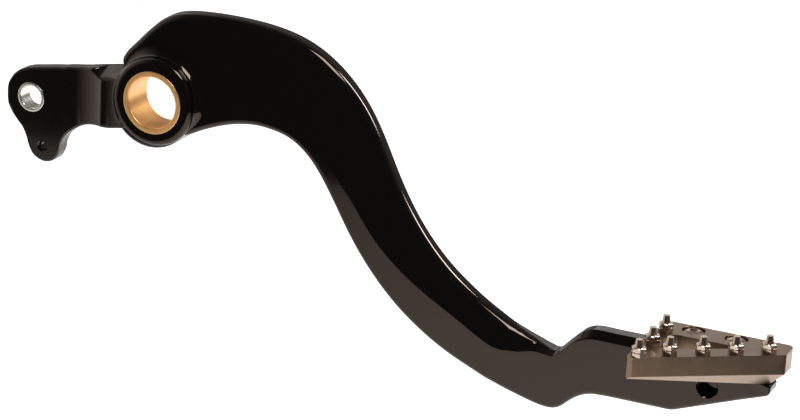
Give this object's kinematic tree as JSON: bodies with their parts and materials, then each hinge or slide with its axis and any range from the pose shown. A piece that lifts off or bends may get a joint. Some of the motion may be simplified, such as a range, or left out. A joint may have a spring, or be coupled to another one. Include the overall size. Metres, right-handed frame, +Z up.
{
  "type": "rear brake pedal",
  "caption": "Curved motorbike foot pedal with a bushed pivot hub, a rod lever behind it and a toothed step plate screwed on its tip.",
  "frame": {"origin": "middle of the pivot bore's axis", "axes": "+X forward along the pedal to its tip, +Y inboard along the pivot axis, +Z up"},
  "size_m": [0.2903, 0.0385, 0.1139],
  "materials": {
    "gloss_black_metal": "gloss",
    "bronze": "satin",
    "bright_steel": "bright",
    "dark_anodised_aluminium": "satin",
    "stainless_steel": "bright"
  },
  "bodies": {
    "root": {"pedal_arm": "gloss_black_metal", "pivot_bush": "bronze", "rod_bush": "bright_steel", "step_plate": "dark_anodised_aluminium", "step_screw_1": "stainless_steel", "step_screw_2": "stainless_steel", "grip_stud_1": "stainless_steel", "grip_stud_2": "stainless_steel", "grip_stud_3": "stainless_steel", "grip_stud_4": "stainless_steel", "grip_stud_5": "stainless_steel", "grip_stud_6": "stainless_steel", "grip_stud_7": "stainless_steel"}
  },
  "joints": []
}
